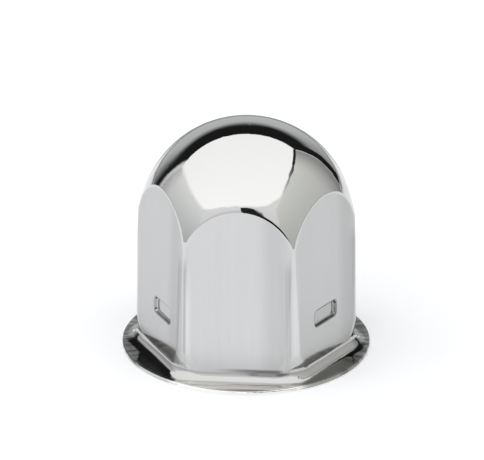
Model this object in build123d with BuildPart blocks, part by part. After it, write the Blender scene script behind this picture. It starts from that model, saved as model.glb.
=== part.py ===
from build123d import *
from math import cos, hypot, radians, sin, sqrt, tan
import os

# Lug nut cover: a deep-drawn cap of bright sheet that pushes over a truck wheel nut.
# A round cup with a domed end has six leaning flats pressed into it, a slanting fold and
# a flat round flange around its foot, and three small dimples that grip the nut's flats.
# Millimetres. Z is the axis of the nut, and z = 0 is the face that meets the wheel.

# Sheet, and the nut that it covers
sheet = 0.6
nut_across_flats = 33.0
foot_clearance = 0.75  # each side, between the nut and the wall at the foot

# Six flats
flat_count = 6
flat_lean = 1.85  # degrees, inwards towards the dome
neck_corner_radius = 7.2  # the corners are roundest just above the fold ...
knee_corner_radius = 3.4
knee_height = 5.5
shoulder_corner_radius = 0.9  # ... and nearly sharp where they run into the dome

# Round cup and dome
corner_shave = 0.7  # the cup is this much smaller than the sharp corners of the hexagon
shoulder_height = 21.2
dome_rise = 21.7
shoulder_fullness = 0.59  # share of the rise that the dome keeps on upwards from the cup
crown_fullness = 0.557  # share of the cup radius that the dome stays level from the axis
arch_bend = 0.9  # soft edge where a flat runs out into the dome

# Slanting fold and flange
fold_width = 1.0  # across, from the wall to the flange
fold_height = 1.45
fold_corner_radius = 4.2
wall_bend = 1.4  # concave, between the wall and the fold
foot_bend = 2.1  # concave, between the fold and the flange
flange_land = 1.35  # flange left outside the corners of the fold
rim_round = 0.15

# Grip dimples, pressed into every second flat
dimple_angles = (90, 210, 330)  # degrees, the rear flat first
dimple_shifts = (0.7, 1.8, -0.4)  # along each of those flats, from its middle
dimple_width = 6.8
dimple_height = 3.0
dimple_centre = 10.45
dimple_grip = 0.15  # how far each would bite into a nut of full size
dimple_corner = 0.8
dimple_flare = 20.0  # degrees, slope of its side walls
dimple_bevel = 0.12
die_gap = 0.3  # the dimple is this much wider each side on the inside of the sheet

corner_factor = 2 / sqrt(3)
lean_slope = tan(radians(flat_lean))
foot_apothem = nut_across_flats / 2 + foot_clearance + sheet
cup_radius = foot_apothem * corner_factor - corner_shave
cover_height = shoulder_height + dome_rise
smallest_bend = 0.2
level_band = 0.001  # edges this near to a height lie at it


def wall_apothem(height, inset):
    """Distance from the axis to a flat at a height, pulled in by inset."""
    return foot_apothem - lean_slope * height - inset


def hexagon_section(height, apothem, corner_radius):
    """Rounded hexagon lying at a height."""
    with BuildSketch(Plane.XY.offset(height)) as section:
        RegularPolygon(apothem, flat_count, major_radius=False)
        fillet(section.vertices(), corner_radius)
    return section.sketch


def wall_section(height, corner_radius, inset):
    """Section of the six flats at a height."""
    corner = max(corner_radius - inset, smallest_bend)
    return hexagon_section(height, wall_apothem(height, inset), corner)


def flat_plane(angle, height, inset):
    """Plane on a flat, with its normal outwards and its local Y up the lean."""
    outward = Vector(cos(radians(angle)), sin(radians(angle)), 0)
    normal = (outward + Vector(0, 0, lean_slope)).normalized()
    centre = outward * wall_apothem(height, inset) + Vector(0, 0, height)
    return Plane(origin=centre, x_dir=Vector(0, 0, 1).cross(normal), z_dir=normal)


fold_slant = hypot(fold_width, fold_height)
fold_apothem = wall_apothem(sheet + fold_height, 0) + fold_width
fold_reach = fold_apothem * corner_factor - fold_corner_radius * (corner_factor - 1)
flange_radius = fold_reach + flange_land
dimple_depth = wall_apothem(dimple_centre, sheet) - nut_across_flats / 2 + dimple_grip


def pressed_form(inset, slab_radius, slab_bottom):
    """Solid within one face of the sheet: inset 0 is the outside, the sheet the inside."""
    slab_top = sheet - inset
    width = fold_width + inset * (1 + (fold_width - fold_slant) / fold_height)
    fold_top = slab_top + fold_height + inset * (1 + (fold_height - fold_slant) / fold_width)
    radius = cup_radius - inset
    top = cover_height - inset
    reach = die_gap if inset > 0 else 0
    with BuildPart() as form:
        # domed cup
        with BuildSketch(Plane.YZ):
            with BuildLine():
                Bezier(
                    (radius, shoulder_height),
                    (radius, shoulder_height + shoulder_fullness * dome_rise),
                    (crown_fullness * radius, top),
                    (0, top),
                )
                Polyline((0, top), (0, fold_top), (radius, fold_top), (radius, shoulder_height))
            make_face()
        revolve(axis=Axis.Z)
        # six flats, which leave arches where they run out into the dome
        loft(
            [
                wall_section(fold_top, neck_corner_radius, inset),
                wall_section(knee_height, knee_corner_radius, inset),
                wall_section(shoulder_height, shoulder_corner_radius, inset),
                wall_section(cover_height + sheet, shoulder_corner_radius, inset),
            ],
            ruled=True,
            mode=Mode.INTERSECT,
        )
        dome = form.faces().sort_by(Axis.Z)[-1]
        arches = dome.edges().sort_by(Axis.Z)[:-1]
        fillet(arches, max(arch_bend - inset, smallest_bend))
        # slanting fold and flange
        loft(
            [
                hexagon_section(slab_top, wall_apothem(fold_top, inset) + width, fold_corner_radius),
                wall_section(fold_top, neck_corner_radius, inset),
            ],
            ruled=True,
        )
        with BuildSketch(Plane.XY.offset(slab_bottom)):
            Circle(slab_radius)
        extrude(amount=slab_top - slab_bottom)
        for level, bend in ((fold_top, wall_bend), (slab_top, foot_bend)):
            folds = form.edges().filter_by(Plane.XY)
            folds = folds.filter_by_position(Axis.Z, level - level_band, level + level_band)
            fillet(folds.filter_by(lambda edge: edge.length < slab_radius), bend + inset)
        # grip dimples
        for angle, shift in zip(dimple_angles, dimple_shifts):
            dimple_plane = flat_plane(angle, dimple_centre, inset)
            with BuildSketch(dimple_plane):
                with Locations((shift, 0)):
                    RectangleRounded(
                        dimple_width + 2 * reach, dimple_height + 2 * reach, dimple_corner + reach
                    )
            extrude(amount=-dimple_depth, taper=dimple_flare, mode=Mode.SUBTRACT)
            if inset == 0:
                chamfer(form.edges(Select.LAST).filter_by(dimple_plane), dimple_bevel)
    return form.part


outside = pressed_form(0, flange_radius, 0)
inside = pressed_form(sheet, 2 * flange_radius, -sheet)

with BuildPart() as cover_shell:
    add(outside)
    add(inside, mode=Mode.SUBTRACT)
    rims = cover_shell.edges().filter_by(GeomType.CIRCLE).sort_by(Edge.radius)[-2:]
    fillet(rims, rim_round)
cover_shell.part.label = "cover_shell"

os.makedirs("parts", exist_ok=True)
export_step(cover_shell.part, "parts/cover_shell.step")
print(f"cover_shell: {flange_radius * 2:.1f} across the flange, {cover_height:.1f} high")
print(f"cup radius {cup_radius:.2f}, dimple depth {dimple_depth:.2f}")
print(f"volume {cover_shell.part.volume:.0f}, faces {len(cover_shell.faces())}")
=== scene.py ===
import bpy
from math import cos, pi, radians, sin
from mathutils import Matrix, Vector

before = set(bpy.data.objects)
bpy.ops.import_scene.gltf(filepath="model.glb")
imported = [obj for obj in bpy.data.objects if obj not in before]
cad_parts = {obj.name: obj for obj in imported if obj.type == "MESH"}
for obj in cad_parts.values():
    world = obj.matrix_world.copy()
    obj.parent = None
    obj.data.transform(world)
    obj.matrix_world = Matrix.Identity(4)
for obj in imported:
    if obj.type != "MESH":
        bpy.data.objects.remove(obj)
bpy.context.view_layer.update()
scene = bpy.context.scene
scene.view_settings.view_transform = "Standard"
print("frame loaded, nodes:", sorted(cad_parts))


# Seen from a little above and to the right of the front flat, through a long lens
lens = {
    "distance": 1.2,
    "elevation": 24.5,  # degrees above the floor
    "turn": 4.47,  # degrees, to the right of the front flat
    "viewWidth": 0.0872,  # metres seen across, at the object
    "filmWidth": 36,
    "aimHeight": 0.0209,
    "aimBack": 0.0027,
    "aimRight": -0.0008,
    "roll": 0.18,
    "clipEnd": 20,
}


def besideLens(right, back, up):
    # a place given to the right of, behind and above the object, as the lens sees it
    turn = Matrix.Rotation(radians(lens["turn"]), 3, "Z")
    return turn @ Vector((right, back, up))


def addCamera():
    tilt = radians(lens["elevation"])
    towards = besideLens(0, -cos(tilt), sin(tilt))
    aim = besideLens(lens["aimRight"], lens["aimBack"], lens["aimHeight"])
    bpy.ops.object.camera_add(location=aim + towards * lens["distance"])
    camera = bpy.context.object
    camera.name = "longLens"
    roll = Matrix.Rotation(radians(lens["roll"]), 4, "Z").to_quaternion()
    camera.rotation_mode = "QUATERNION"
    camera.rotation_quaternion = (-towards).to_track_quat("-Z", "Y") @ roll
    camera.data.sensor_width = lens["filmWidth"]
    camera.data.lens = lens["distance"] * lens["filmWidth"] / lens["viewWidth"]
    camera.data.clip_end = lens["clipEnd"]
    scene.camera = camera
    print("camera set, lens", round(camera.data.lens), "mm")


# A white cloth tent with a dark opening behind the object and one for the lens.
# Each panel has its centre and its size in metres, as right, back and up, and the glow
# at its foot and at its top. Along some edges it fades out, or its glow falls to a
# share, over a distance. A bow rounds one corner off and a fan narrows the floor towards
# the object. Left and right are those of someone inside who looks at the panel.
tent = {
    "ceiling": {
        "centre": (-0.16, -0.046, 0.50), "size": (1.16, 1.018), "faces": "down",
        "colour": (1.0, 1.0, 0.995), "glow": (1.5, 1.36), "dim": {"right": (0.10, 0.75)},
        "bow": {
            "corner": (-0.28, -0.20), "towards": (-1, -1), "reach": (0.28, 0.28),
            "soft": 0.10, "share": 0.70,
        },
    },
    "rightWall": {
        "centre": (0.42, -0.036, 0.25), "size": (1.038, 0.50), "faces": "left",
        "colour": (0.985, 1.0, 0.96), "glow": (0.62, 0.92), "dim": {"left": (0.38, 0.45)},
    },
    "leftWall": {
        "centre": (-0.74, -0.036, 0.25), "size": (1.038, 0.50), "faces": "right",
        "colour": (0.985, 1.0, 0.99), "glow": (0.63, 1.03), "dim": {"right": (0.30, 0.7)},
    },
    "frontWall": {
        "centre": (-0.16, -0.555, 0.25), "size": (1.16, 0.50), "faces": "back",
        "colour": (1.0, 1.0, 1.0), "glow": (0.80, 1.04), "dim": {},
    },
    "lensOpening": {
        "centre": (0.145, -0.55, 0.25), "size": (0.43, 0.50), "faces": "back",
        "colour": (1.0, 1.0, 1.0), "glow": (0.02, 0.02),
        "bow": {
            "corner": (0.165, -0.15), "towards": (-1, 1), "reach": (0.38, 0.40),
            "soft": 0.02, "share": 0,
        },
    },
    "backWall": {
        "centre": (-0.16, 0.463, 0.25), "size": (1.16, 0.50), "faces": "front",
        "colour": (1.0, 1.0, 0.98), "glow": (0.60, 0.90), "dim": {},
    },
    "darkOpening": {
        "centre": (-0.125, 0.460, 0.25), "size": (1.06, 0.50), "faces": "front",
        "colour": (1.0, 1.0, 1.0), "glow": (0.015, 0.015), "fade": {"left": 0.10},
    },
    "greyWindow": {
        "centre": (-0.105, 0.455, 0.138), "size": (0.81, 0.29), "faces": "front",
        "colour": (0.965, 1.0, 0.985), "glow": (0.62, 0.66),
        "fade": {"left": 0.30, "top": 0.13}, "dim": {"right": (0.20, 0.62)},
    },
    # seen only in reflections: painted shade, a dimmer sheet standing in for the shaded floor behind the
    # object
    "floorBehind": {
        "centre": (0, 0.24, 0.0005), "size": (0.7, 0.44), "faces": "up",
        "colour": (0.97, 1.0, 0.99), "glow": (0.28, 0.40), "glossOnly": True,
        "fan": {"turn": 17, "soft": 0.4, "begins": (0.03, 0.06), "widens": (0.18, 0.30)},
    },
    "seam": {
        "centre": (0.386, 0.02, 0.482), "size": (0.85, 0.040), "faces": "left",
        "colour": (1.0, 1.0, 1.0), "glow": (0.02, 0.02), "fade": {"left": 0.01, "right": 0.6},
    },
}
directions = {
    "down": ((0, 0, -1), (0, 1, 0)),  # which way it faces, and its own upward side
    "up": ((0, 0, 1), (0, 1, 0)),
    "left": ((-1, 0, 0), (0, 0, 1)),
    "right": ((1, 0, 0), (0, 0, 1)),
    "front": ((0, -1, 0), (0, 0, 1)),
    "back": ((0, 1, 0), (0, 0, 1)),
}


def newMaterial(name):
    material = bpy.data.materials.new(name)
    material.use_nodes = True
    material.node_tree.nodes.clear()
    return material, material.node_tree


def addNode(tree, kind, settings=None, inputs=None):
    # inputs are numbers and colours, or the sockets that feed them
    node = tree.nodes.new(kind)
    for key, value in (settings or {}).items():
        setattr(node, key, value)
    for key, value in (inputs or {}).items():
        if isinstance(value, bpy.types.NodeSocket):
            tree.links.new(value, node.inputs[key])
        else:
            node.inputs[key].default_value = value
    return node


def maths(tree, operation, first, second=0.0, third=0.0):
    node = addNode(tree, "ShaderNodeMath", {"operation": operation}, {0: first, 1: second, 2: third})
    return node.outputs[0]


def ramp(tree, value, lowIn, highIn, lowOut, highOut, smooth=True):
    # goes from one output to the other between two values, and stays level outside them
    kind = "SMOOTHSTEP" if smooth else "LINEAR"
    node = addNode(
        tree, "ShaderNodeMapRange", {"interpolation_type": kind},
        {"Value": value, "From Min": lowIn, "From Max": highIn, "To Min": lowOut, "To Max": highOut},
    )
    return node.outputs["Result"]


def vectorMaths(tree, operation, first, second=(0, 0, 0), output="Vector"):
    node = addNode(tree, "ShaderNodeVectorMath", {"operation": operation}, {0: first, 1: second})
    return node.outputs[output]


def product(tree, factors):
    total = factors[0]
    for factor in factors[1:]:
        total = maths(tree, "MULTIPLY", total, factor)
    return total


def edgeShares(tree, panel, kind, place):
    # one factor for each soft edge: a share at the edge, and 1 further in
    split = addNode(tree, "ShaderNodeSeparateXYZ", inputs={"Vector": place})
    across, upward = split.outputs["X"], split.outputs["Y"]
    width, height = panel["size"]
    edges = {"left": (across, -0.5, width), "right": (across, 0.5, width),
             "bottom": (upward, -0.5, height), "top": (upward, 0.5, height)}
    shares = []
    for edge, setting in panel.get(kind, {}).items():
        reach, share = setting if kind == "dim" else (setting, 0)
        axis, side, length = edges[edge]
        inner = side - (1 if side > 0 else -1) * reach / length
        shares.append(ramp(tree, axis, side, inner, share, 1))
    return shares


def bowShare(tree, panel, place):
    # 1 inside a rounded corner of the panel, a share beyond it
    shape = panel["bow"]
    spot = vectorMaths(tree, "MULTIPLY", place, (*panel["size"], 0))
    spot = vectorMaths(tree, "SUBTRACT", spot, (*shape["corner"], 0))
    scale = [side / reach for side, reach in zip(shape["towards"], shape["reach"])]
    spot = vectorMaths(tree, "MULTIPLY", spot, (*scale, 0))
    spot = vectorMaths(tree, "MAXIMUM", spot, (0, 0, 0))
    beyond = vectorMaths(tree, "LENGTH", spot, output="Value")
    return ramp(tree, beyond, 1 - shape["soft"], 1 + shape["soft"], 1, shape["share"])


def fanShare(tree, panel, place):
    # all of the far floor, and near the object only a fan straight behind it
    spot = vectorMaths(tree, "MULTIPLY", place, (*panel["size"], 0))
    spot = vectorMaths(tree, "ADD", spot, panel["centre"])
    right, back, _ = addNode(tree, "ShaderNodeSeparateXYZ", inputs={"Vector": spot}).outputs
    turn = maths(tree, "ABSOLUTE", maths(tree, "ARCTAN2", right, back))
    shape = panel["fan"]
    half, soft = radians(shape["turn"]), shape["soft"]
    fan = ramp(tree, turn, (1 - soft) * half, (1 + soft) * half, 1, 0)
    fan = maths(tree, "MULTIPLY", fan, ramp(tree, back, *shape["begins"], 0, 1))
    return maths(tree, "MAXIMUM", fan, ramp(tree, back, *shape["widens"], 0, 1))


def panelGlow(name, panel):
    material, tree = newMaterial(name + "Glow")
    place = addNode(tree, "ShaderNodeTexCoord").outputs["Object"]
    upward = addNode(tree, "ShaderNodeSeparateXYZ", inputs={"Vector": place}).outputs["Y"]
    low, high = panel["glow"]
    strength = ramp(tree, upward, -0.5, 0.5, low, high, smooth=False)
    strength = product(tree, [strength] + edgeShares(tree, panel, "dim", place))
    shape = panel.get("bow")
    if shape and shape["share"] > 0:
        strength = maths(tree, "MULTIPLY", strength, bowShare(tree, panel, place))
    lamp = addNode(
        tree, "ShaderNodeEmission", inputs={"Color": (*panel["colour"], 1), "Strength": strength}
    ).outputs[0]
    shown = edgeShares(tree, panel, "fade", place)
    if "fan" in panel:
        shown.append(fanShare(tree, panel, place))
    if shape and shape["share"] == 0:
        shown.append(bowShare(tree, panel, place))
    if shown:
        clear = addNode(tree, "ShaderNodeBsdfTransparent").outputs[0]
        lamp = addNode(
            tree, "ShaderNodeMixShader", inputs={0: product(tree, shown), 1: clear, 2: lamp}
        ).outputs[0]
    addNode(tree, "ShaderNodeOutputMaterial", inputs={"Surface": lamp})
    return material


def addTent():
    for name, panel in tent.items():
        bpy.ops.object.select_all(action="DESELECT")
        bpy.ops.mesh.primitive_plane_add(size=1, location=besideLens(*panel["centre"]))
        sheet = bpy.context.object
        sheet.name = name
        facing, upward = (besideLens(*way) for way in directions[panel["faces"]])
        axes = Matrix((upward.cross(facing), upward, facing)).transposed()
        sheet.rotation_mode = "QUATERNION"
        sheet.rotation_quaternion = axes.to_quaternion()
        sheet.scale = (*panel["size"], 1)
        sheet.data.materials.append(panelGlow(name, panel))
        sheet.visible_camera = False
        sheet.visible_diffuse = sheet.visible_shadow = not panel.get("glossOnly", False)
    print("tent hung, panels:", len(tent))


# The table under the object and the white room round the tent
table = {
    "size": 4.0,
    "colour": (0.90, 0.905, 0.93, 1),
    "roughness": 0.9,
    "whiteness": 0.16,  # lifts the lit cloth to white and leaves the shadow
    "mouthRadius": 0.0222,  # open under the cover, to light its inside from below
    "roomColour": (1, 1, 1, 1),
    "roomStrength": 1.0,
}


def tableCloth():
    material, tree = newMaterial("tableCloth")
    cloth = addNode(
        tree, "ShaderNodeBsdfPrincipled",
        inputs={"Base Color": table["colour"], "Roughness": table["roughness"]},
    ).outputs[0]
    path = addNode(tree, "ShaderNodeLightPath").outputs
    seen = maths(tree, "MAXIMUM", path["Is Camera Ray"], path["Is Glossy Ray"])
    seen = maths(tree, "MAXIMUM", seen, path["Is Transmission Ray"])
    place = addNode(tree, "ShaderNodeTexCoord").outputs["Object"]
    fromAxis = vectorMaths(tree, "LENGTH", place, output="Value")
    lifted = maths(tree, "MULTIPLY", seen, table["whiteness"])
    lift = addNode(tree, "ShaderNodeEmission", inputs={"Strength": lifted}).outputs[0]
    cloth = addNode(tree, "ShaderNodeAddShader", inputs={0: cloth, 1: lift}).outputs[0]
    mouth = maths(tree, "LESS_THAN", fromAxis, table["mouthRadius"])
    under = addNode(tree, "ShaderNodeNewGeometry").outputs["Backfacing"]
    clear = addNode(tree, "ShaderNodeBsdfTransparent").outputs[0]
    mixed = addNode(
        tree, "ShaderNodeMixShader", inputs={0: maths(tree, "MAXIMUM", mouth, under), 1: cloth, 2: clear}
    ).outputs[0]
    addNode(tree, "ShaderNodeOutputMaterial", inputs={"Surface": mixed})
    return material


def addTable():
    bpy.ops.object.select_all(action="DESELECT")
    bpy.ops.mesh.primitive_plane_add(size=table["size"], location=(0, 0, 0))
    top = bpy.context.object
    top.name = "table"
    top.data.materials.append(tableCloth())
    print("table added")


def addRoom():
    world = bpy.data.worlds.new("room")
    world.use_nodes = True
    scene.world = world
    room = world.node_tree.nodes["Background"]
    room.inputs["Color"].default_value = table["roomColour"]
    room.inputs["Strength"].default_value = table["roomStrength"]
    print("room added")


# The bright pressed sheet. Lengths are in metres. A tone is a share of the sheet's colour,
# and a pair of heights or reaches is where something begins to change and where it is done.
finish = {
    "colour": (0.62, 0.62, 0.618),
    # from clean to smudged: mirror polish on the dome, grain on the flats, a duller foot
    "domeRoughness": (0.020, 0.045),
    "flatRoughness": (0.075, 0.14),
    "footRoughness": (0.045, 0.11),
    "insideRoughness": (0.24, 0.36),
    # scale, detail and roughness of each texture
    "grain": (2400, 4, 0.65),
    "bands": (400, 2, 0.5),
    "smudge": (140, 5, 0.6),
    "waves": (95, 1, 0.5),
    "streaks": (7, 2, 0.5),
    "smears": (17, 2, 0.55),
    "grainStretch": 0.02,  # drawn out down the walls
    "grainTone": (0.95, 1.03),
    "bandsTone": (0.955, 1.005),
    "smudgeTone": (0.985, 1.01),
    "grainDepth": 0.0000016,
    "wavesDepth": 0.000012,
    "streaksDepth": 0.00006,
    # which parts of the sheet are which
    "uprightLean": (0.06, 0.16),
    "flatTurn": (0.04, 0.16),  # off square to a flat, in sixths of a turn
    "mouthHeight": 0.0003,
    "flangeHeight": (0.0006, 0.0009),
    "footHeight": (0.0018, 0.0030),
    "footTone": 0.90,
    # darker towards the bottom of the sheet, between these heights
    "lowerDarkHeight": (0.0022, 0.0070),
    "lowerDarkTone": 0.88,
    "insideTone": 0.84,
    # painted shade: the flats at the two sides are darker
    "sideReach": (0.0085, 0.0105),
    "sideShadeTone": 0.87,
    "sideFootHeight": (0.0028, 0.0046),  # painted shade: darker side walls just above the fold
    "sideFootShadeTones": (0.60, 0.88),  # left and right
}
# Beside a corner between two flats, with a painted highlight on the ridge, painted shade on the flats
# and painted dark reflection lines: place past the corner, half widths, and tone
corners = {
    "radius": 0.0204,
    "ridge": (0.0006, 0.0003, 0.0011),
    "ridgeHeight": (0.016, 0.026),
    # painted highlight: the ridge is lighter
    "ridgeHighlightTone": 1.08,
    "ridgeRoughness": 0.05,
    "shade": (-0.0032, 0.0002, 0.0042),
    "shadeTone": 0.87,
    "darkReflectionHeight": (0.0210, 0.0250),  # the painted dark reflection lines fade out between these heights
    "leftDarkReflections": [
        ((0.00022, 0.00012, 0.00038), 0.70),
        ((-0.00120, 0.00050, 0.00140), 0.84),
        ((-0.00156, 0.00010, 0.00040), 0.90),
    ],
    "rightDarkReflections": [
        ((-0.00082, 0.00010, 0.00032), 0.82),
        ((-0.00130, 0.00010, 0.00030), 0.88),
        ((-0.00140, 0.00050, 0.00170), 0.94),
    ],
}
# In front, a painted dark reflection line lies above the fold, and the bend below the line is rubbed
# dull
frontFold = {
    "depth": -0.014,
    "lineHeight": (0.00255, 0.00012, 0.00054),
    "lineAlong": (-0.0055, 0.0035, 0.0072, 0.0084),
    "paintedDarkLineTone": 0.38,
    "bendHeight": (0.0014, 0.0017, 0.0024, 0.0027),
    "bendAlong": (0.0020, 0.0040, 0.0090, 0.0105),
    "bendRoughness": 0.32,
}
# The flange has a painted highlight in front and along its rim, painted shade on its right, and is
# smeared at its two ends
flange = {
    "rimReach": (0.0213, 0.0222),
    "rimHighlightTone": 1.3,
    "rimRoughness": 0.16,
    "frontReach": (-0.0192, -0.0178),
    "frontHighlightTone": 1.5,
    "rightReach": (0.0105, 0.0125),
    "rightDepth": (-0.006, -0.003),
    "rightShadeTone": 0.60,
    "warmTint": (1.0, 0.98, 0.95),
    "endReach": (0.0172, 0.0190),
    "smearEdges": (0.42, 0.60),
    "smearTone": (0.58, 1.08),
}
# The three grip dimples, as angle of the flat, place along it, height and half sizes
dimples = {
    "angles": (90, 210, 330),
    "shifts": (0.0007, 0.0018, -0.0004),
    # painted shade: the tones of each dimple's outline and of its floor
    "outlineShadeTones": (0.5, 0.6, 0.36),
    "floorShadeTones": (0.92, 0.99, 0.86),
    "height": 0.01045,
    "halfSize": (0.0034, 0.0015),
    "corner": 0.0008,
    "line": (0.00010, 0.00036),  # half widths
    "flatReach": 0.014,
}


def blend(tree, factor, low, high):
    # low where the factor is 0, high where it is 1
    node = addNode(
        tree, "ShaderNodeMapRange", inputs={"Value": factor, "To Min": low, "To Max": high}
    )
    return node.outputs["Result"]


def line(tree, value, shape):
    # 1 along the middle of a line, 0 beyond its further half width
    middle, near, far = shape
    away = maths(tree, "ABSOLUTE", maths(tree, "SUBTRACT", value, middle))
    return ramp(tree, away, near, far, 1, 0)


def between(tree, value, edges):
    # rises from the first edge to the second and falls from the third to the last
    begins, full, falls, ends = edges
    rise = ramp(tree, value, begins, full, 0, 1)
    return maths(tree, "MULTIPLY", rise, ramp(tree, value, falls, ends, 1, 0))


def sixths(tree, x, y):
    # turn round the axis in sixths, whole where a direction is square to a flat
    turn = maths(tree, "ARCTAN2", y, x)
    return maths(tree, "MULTIPLY_ADD", turn, 3 / pi, 1.5)


def noise(tree, place, name):
    scale, detail, roughness = finish[name]
    node = addNode(
        tree, "ShaderNodeTexNoise", inputs={
            "Vector": place, "Scale": scale, "Detail": detail, "Roughness": roughness,
        },
    )
    return node.outputs["Fac"]


def bump(tree, height, distance, below=None):
    inputs = {"Height": height, "Distance": distance}
    if below is not None:
        inputs["Normal"] = below
    return addNode(tree, "ShaderNodeBump", inputs=inputs).outputs[0]


def sheetParts(tree, place, facing):
    # how far each point belongs to each part of the sheet, from 0 to 1
    x, y, z = addNode(tree, "ShaderNodeSeparateXYZ", inputs={"Vector": place}).outputs
    faceX, faceY, faceZ = addNode(tree, "ShaderNodeSeparateXYZ", inputs={"Vector": facing}).outputs
    upright = ramp(tree, maths(tree, "ABSOLUTE", faceZ), *finish["uprightLean"], 1, 0)
    square = maths(tree, "PINGPONG", sixths(tree, faceX, faceY), 0.5)
    flat = maths(tree, "MULTIPLY", upright, ramp(tree, square, *finish["flatTurn"], 1, 0))
    side = ramp(tree, maths(tree, "ABSOLUTE", x), *finish["sideReach"], 0, 1)
    side = maths(tree, "MULTIPLY", side, flat)
    fromMouth = vectorMaths(tree, "SUBTRACT", place, (0, 0, finish["mouthHeight"]))
    outwards = vectorMaths(tree, "DOT_PRODUCT", facing, fromMouth, "Value")
    onFlange = ramp(tree, z, *finish["flangeHeight"], 1, 0)
    level = vectorMaths(tree, "MULTIPLY", place, (1, 1, 0))
    fromAxis = vectorMaths(tree, "LENGTH", level, output="Value")
    pastCorner = maths(tree, "SUBTRACT", maths(tree, "FRACT", sixths(tree, x, y)), 0.5)
    pastCorner = maths(tree, "MULTIPLY", pastCorner, corners["radius"] * pi / 3)
    wall = maths(tree, "MULTIPLY", upright, ramp(tree, z, *corners["ridgeHeight"], 1, 0))
    inFront = maths(tree, "LESS_THAN", y, frontFold["depth"])
    right = ramp(tree, x, *flange["rightReach"], 0, 1)
    end = ramp(tree, maths(tree, "ABSOLUTE", x), *flange["endReach"], 0, 1)
    return {
        "x": x, "z": z, "level": level, "pastCorner": pastCorner, "flat": flat, "side": side,
        "inside": maths(tree, "LESS_THAN", outwards, 0.0),
        "foot": ramp(tree, z, *finish["footHeight"], 1, 0),
        "shadedSideFoot": product(tree, [upright, ramp(tree, z, *finish["sideFootHeight"], 1, 0), side]),
        # painted dark reflection line above the fold in front
        "line": product(tree, [
            inFront, line(tree, z, frontFold["lineHeight"]), between(tree, x, frontFold["lineAlong"]),
        ]),
        "bend": product(tree, [
            inFront, between(tree, z, frontFold["bendHeight"]),
            between(tree, x, frontFold["bendAlong"]),
        ]),
        "ridge": maths(tree, "MULTIPLY", wall, line(tree, pastCorner, corners["ridge"])),
        "shade": maths(tree, "MULTIPLY", flat, line(tree, pastCorner, corners["shade"])),
        "drawn": maths(tree, "MULTIPLY", upright, ramp(tree, z, *corners["darkReflectionHeight"], 1, 0)),
        "rim": ramp(tree, fromAxis, *flange["rimReach"], 0, 1),
        "flange": onFlange,
        "front": maths(tree, "MULTIPLY", onFlange, ramp(tree, y, *flange["frontReach"], 1, 0)),
        "right": product(tree, [onFlange, right, ramp(tree, y, *flange["rightDepth"], 1, 0)]),
        "end": maths(tree, "MULTIPLY", onFlange, end),
    }


def darkReflectionTones(tree, parts):
    # darker along each line: painted dark reflections beside each corner
    tones = []
    for operation, lineKey in (("LESS_THAN", "leftDarkReflections"), ("GREATER_THAN", "rightDarkReflections")):
        here = maths(tree, "MULTIPLY", maths(tree, operation, parts["x"], 0.0), parts["drawn"])
        for shape, tone in corners[lineKey]:
            darkLine = maths(tree, "MULTIPLY", here, line(tree, parts["pastCorner"], shape))
            tones.append(blend(tree, darkLine, 1.0, tone))
    return tones


def dimpleShadeTones(tree, place, height):
    # painted shade along the outline of each dimple, and a little inside it
    near, far = dimples["line"]
    sides = [half - dimples["corner"] for half in dimples["halfSize"]]
    tones = []
    each = zip(*(dimples[key] for key in ("angles", "shifts", "outlineShadeTones", "floorShadeTones")))
    for angle, shift, paintedDarkLineTone, floorShadeTone in each:
        outward = Vector((cos(radians(angle)), sin(radians(angle)), 0))
        along = vectorMaths(tree, "DOT_PRODUCT", place, (-outward.y, outward.x, 0), "Value")
        out = vectorMaths(tree, "DOT_PRODUCT", place, outward, "Value")
        away = []
        for value, middle, half in zip((along, height), (shift, dimples["height"]), sides):
            value = maths(tree, "ABSOLUTE", maths(tree, "SUBTRACT", value, middle))
            away.append(maths(tree, "SUBTRACT", value, half))
        beyond = addNode(tree, "ShaderNodeCombineXYZ", inputs={
            "X": maths(tree, "MAXIMUM", away[0], 0.0), "Y": maths(tree, "MAXIMUM", away[1], 0.0),
        }).outputs[0]
        edge = vectorMaths(tree, "LENGTH", beyond, output="Value")
        edge = maths(tree, "ADD", edge, maths(tree, "MINIMUM", maths(tree, "MAXIMUM", *away), 0.0))
        edge = maths(tree, "SUBTRACT", edge, dimples["corner"])
        outline = ramp(tree, maths(tree, "ABSOLUTE", edge), near, far, paintedDarkLineTone, 1)
        tone = maths(tree, "MULTIPLY", outline, ramp(tree, edge, -far, 0, floorShadeTone, 1))
        onFlat = maths(tree, "GREATER_THAN", out, dimples["flatReach"])
        tones.append(blend(tree, onFlat, 1.0, tone))
    return tones


def sheetTextures(tree, place, level):
    drawnOut = addNode(
        tree, "ShaderNodeMapping", inputs={"Vector": place, "Scale": (1, 1, finish["grainStretch"])}
    ).outputs[0]
    around = vectorMaths(tree, "NORMALIZE", level)
    places = {
        "grain": drawnOut, "bands": drawnOut, "smudge": place, "waves": place,
        "streaks": around, "smears": around,
    }
    return {name: noise(tree, spot, name) for name, spot in places.items()}


def sheetRoughness(tree, parts, textures):
    # each part covers what stands before it
    grain, smudge, streaks = (textures[name] for name in ("grain", "smudge", "streaks"))
    roughness = blend(tree, smudge, *finish["domeRoughness"])
    roughness = blend(tree, parts["flat"], roughness, blend(tree, grain, *finish["flatRoughness"]))
    roughness = blend(tree, parts["foot"], roughness, blend(tree, streaks, *finish["footRoughness"]))
    roughness = blend(tree, parts["ridge"], roughness, corners["ridgeRoughness"])
    roughness = blend(tree, parts["rim"], roughness, flange["rimRoughness"])
    roughness = blend(tree, parts["bend"], roughness, frontFold["bendRoughness"])
    inner = blend(tree, smudge, *finish["insideRoughness"])
    return blend(tree, parts["inside"], roughness, inner)


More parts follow.
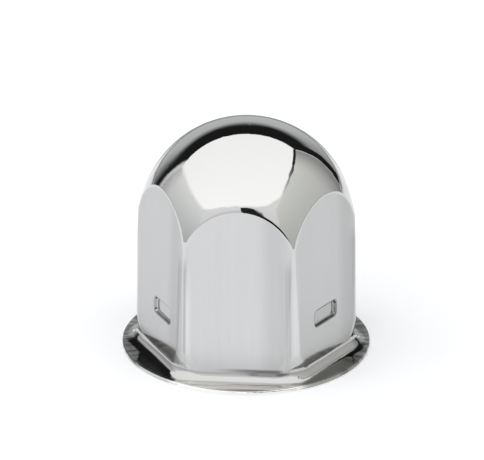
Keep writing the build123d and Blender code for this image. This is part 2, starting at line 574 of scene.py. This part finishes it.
def sheetTones(tree, parts, textures):
    # random tones, and painted highlights and painted shade on the sides, corners, fold, rim and flange
    rightHalf = maths(tree, "GREATER_THAN", parts["x"], 0.0)
    tones = {
        "side": finish["sideShadeTone"],
        "foot": finish["footTone"],
        "ridge": corners["ridgeHighlightTone"],
        "shade": corners["shadeTone"],
        "rim": flange["rimHighlightTone"],
        "shadedSideFoot": blend(tree, rightHalf, *finish["sideFootShadeTones"]),
        "line": frontFold["paintedDarkLineTone"],
        "front": flange["frontHighlightTone"],
        "right": flange["rightShadeTone"],
        "end": ramp(tree, textures["smears"], *flange["smearEdges"], *flange["smearTone"]),
        "inside": finish["insideTone"],
    }
    return [
        blend(tree, parts["flat"], 1.0, blend(tree, textures["bands"], *finish["bandsTone"])),
        blend(tree, parts["flat"], 1.0, blend(tree, textures["grain"], *finish["grainTone"])),
        blend(tree, textures["smudge"], *finish["smudgeTone"]),
        ramp(tree, parts["z"], *finish["lowerDarkHeight"], finish["lowerDarkTone"], 1),
    ] + [blend(tree, parts[name], 1.0, tone) for name, tone in tones.items()]


def sheetColour(tree, parts, tones):
    colour = addNode(
        tree, "ShaderNodeVectorMath", {"operation": "SCALE"},
        {0: finish["colour"], "Scale": product(tree, tones)},
    ).outputs[0]
    warm = maths(tree, "MAXIMUM", parts["front"], parts["right"])
    tint = addNode(
        tree, "ShaderNodeMix", {"data_type": "RGBA", "blend_type": "MULTIPLY"},
        {"Factor": warm, 6: colour, 7: (*flange["warmTint"], 1)},
    )
    return tint.outputs[2]


def sheetBumps(tree, parts, textures):
    # grain on the flats, waves all over and streaks across the flange
    grain = maths(tree, "MULTIPLY", textures["grain"], parts["flat"])
    streaks = maths(tree, "MULTIPLY", textures["streaks"], parts["flange"])
    normal = bump(tree, grain, finish["grainDepth"])
    normal = bump(tree, textures["waves"], finish["wavesDepth"], normal)
    return bump(tree, streaks, finish["streaksDepth"], normal)


def polishedSheet():
    material, tree = newMaterial("polishedSheet")
    coordinates = addNode(tree, "ShaderNodeTexCoord").outputs
    place = coordinates["Object"]
    parts = sheetParts(tree, place, coordinates["Normal"])
    textures = sheetTextures(tree, place, parts["level"])
    tones = sheetTones(tree, parts, textures) + darkReflectionTones(tree, parts)
    tones += dimpleShadeTones(tree, place, parts["z"])
    sheet = addNode(
        tree, "ShaderNodeBsdfPrincipled", inputs={
            "Base Color": sheetColour(tree, parts, tones),
            "Metallic": 1.0,
            "Roughness": sheetRoughness(tree, parts, textures),
            "Normal": sheetBumps(tree, parts, textures),
        },
    )
    addNode(tree, "ShaderNodeOutputMaterial", inputs={"Surface": sheet.outputs[0]})
    return material


def dressCover():
    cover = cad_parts["cover_shell"]
    cover.data.materials.clear()
    cover.data.materials.append(polishedSheet())
    print("cover dressed")


addCamera()
addTent()
addTable()
addRoom()
dressCover()
